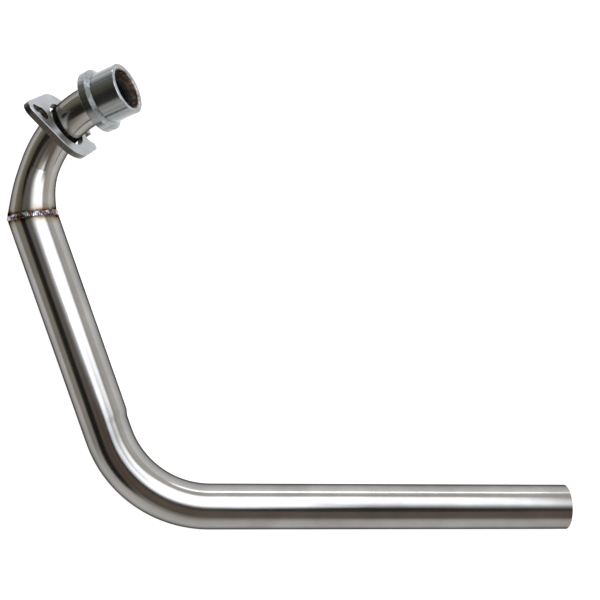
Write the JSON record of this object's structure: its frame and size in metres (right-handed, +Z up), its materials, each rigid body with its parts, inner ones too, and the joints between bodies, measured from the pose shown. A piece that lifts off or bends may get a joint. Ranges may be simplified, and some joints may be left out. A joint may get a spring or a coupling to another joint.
{
  "type": "motorcycle exhaust header",
  "caption": "Bent exhaust head pipe with a flared welded neck, a collared port sleeve and a loose slotted stud flange that slides on the neck.",
  "frame": {"origin": "bottom centre of the bounding box, on the floor that the header lies on", "axes": "+X out of the outlet along the outlet run, +Y towards the engine end, +Z up"},
  "size_m": [0.5354, 0.4214, 0.0863],
  "materials": {
    "tube_steel": "polished, faint warm tint",
    "neck_steel": "polished, heat tinted by the weld",
    "turned_steel": "fine turned",
    "weld_metal": "rippled weld bead",
    "plate_steel": "satin"
  },
  "bodies": {
    "pipe": {"main_tube": "tube_steel", "neck_tube": "neck_steel", "head_sleeve": "turned_steel", "bore_weld": "weld_metal", "joint_weld": "weld_metal"},
    "flange": {"head_flange": "plate_steel"}
  },
  "joints": [
    {"name": "flange_slide", "type": "hinge", "parent": "pipe", "child": "flange", "pos_m": [-0.15974, 0.08704, 0.06949], "axis": [0.4539, -0.0087, -0.891], "range_deg": [0, 17]}
  ]
}
